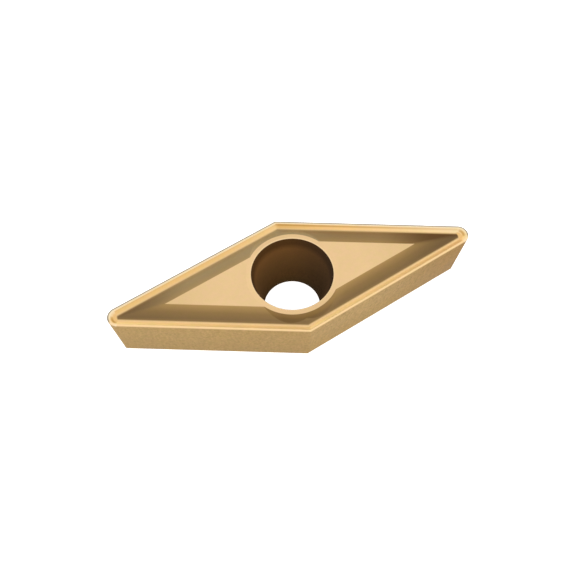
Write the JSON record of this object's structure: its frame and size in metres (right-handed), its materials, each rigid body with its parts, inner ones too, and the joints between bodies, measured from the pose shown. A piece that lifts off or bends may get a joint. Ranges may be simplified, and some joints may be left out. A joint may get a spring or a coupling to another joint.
{
  "type": "carbide turning insert",
  "caption": "Indexable rhombic turning insert with narrow noses, leaning flanks, a raised chip breaker, a ring round the screw hole and a golden hard coating.",
  "frame": {"origin": "on the screw hole's axis, in the flat seating face under the insert", "axes": "+X along the long diagonal towards one cutting nose, +Y along the short diagonal, +Z out of the screw hole's mouth, square to the seating face"},
  "size_m": [0.028, 0.01, 0.005],
  "materials": {
    "golden_coating": "satin golden nitride coating over cemented carbide, with a fine sintered grain on the flanks and duller, darker pressed slopes and hole"
  },
  "bodies": {
    "root": {"insert_body": "golden_coating"}
  },
  "joints": []
}
